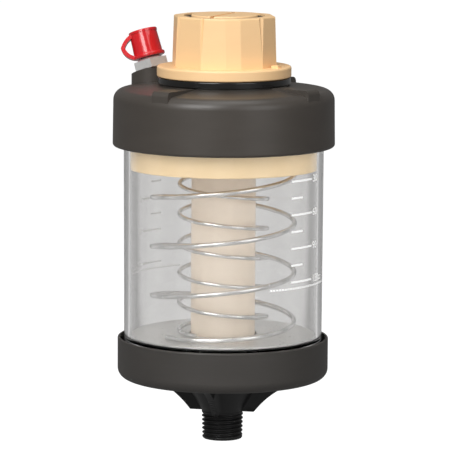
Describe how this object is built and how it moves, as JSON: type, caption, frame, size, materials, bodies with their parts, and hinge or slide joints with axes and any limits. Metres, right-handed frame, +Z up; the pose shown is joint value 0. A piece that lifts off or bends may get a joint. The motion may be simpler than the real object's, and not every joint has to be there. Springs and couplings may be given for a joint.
{
  "type": "automatic lubricator",
  "caption": "Spring-driven refillable grease lubricator with a clear reservoir, nested springs, metering knob, capped grease fitting and threaded outlet.",
  "frame": {"origin": "centre of the outlet thread's end face", "axes": "+Z up along the main axis, from the outlet to the knob; -Y is the side whose right half carries the front volume scale"},
  "size_m": [0.0738, 0.0738, 0.1423],
  "materials": {
    "cover_nylon": "satin moulded",
    "cup_nylon": "matte moulded",
    "outlet_nylon": "satin moulded",
    "black_acetal": "gloss turned",
    "clear_plastic": "polished clear",
    "tan_plastic": "satin moulded",
    "piston_plastic": "satin moulded",
    "knob_plastic": "satin moulded",
    "cap_plastic": "gloss",
    "plated_steel": "bright zinc plated",
    "spring_steel": "bright drawn wire",
    "stem_brass": "turned",
    "seal_rubber": "matte"
  },
  "bodies": {
    "reservoir": {"outlet_fitting": "outlet_nylon", "base_cup": "cup_nylon", "reservoir_bowl": "clear_plastic", "spring_seat": "plated_steel", "center_tube": "tan_plastic", "tube_seal_lower": "seal_rubber", "top_cover": "cover_nylon", "thrust_washer": "black_acetal", "tube_seal_upper": "seal_rubber", "cover_seal": "seal_rubber", "outer_spring": "spring_steel", "inner_spring": "spring_steel", "grease_fitting": "plated_steel", "check_ball": "spring_steel", "check_spring": "spring_steel"},
    "piston": {"piston": "piston_plastic", "piston_seal": "seal_rubber", "hub_seal": "seal_rubber"},
    "knob": {"control_knob": "knob_plastic", "knob_screw": "knob_plastic", "valve_stem": "stem_brass", "stem_seal_lower": "seal_rubber", "stem_seal_upper": "seal_rubber", "stem_clip": "spring_steel", "recess_ring": "seal_rubber"},
    "cap": {"dust_cap": "cap_plastic"}
  },
  "joints": [
    {"name": "piston_slide", "type": "slide", "parent": "reservoir", "child": "piston", "axis": [0, 0, -1], "range_m": [0, 0.0443], "stiffness_N_per_m": 250, "springref_m": -0.03, "deforming": ["outer_spring", "inner_spring"]},
    {"name": "knob_turn", "type": "hinge", "parent": "reservoir", "child": "knob", "pos_m": [0, 0, 0.1218], "axis": [0, 0, 1], "range_deg": [0, 270]},
    {"name": "cap_pull", "type": "slide", "parent": "reservoir", "child": "cap", "axis": [-0.2534, 0.191, 0.9483], "range_m": [0, 0.012]}
  ]
}
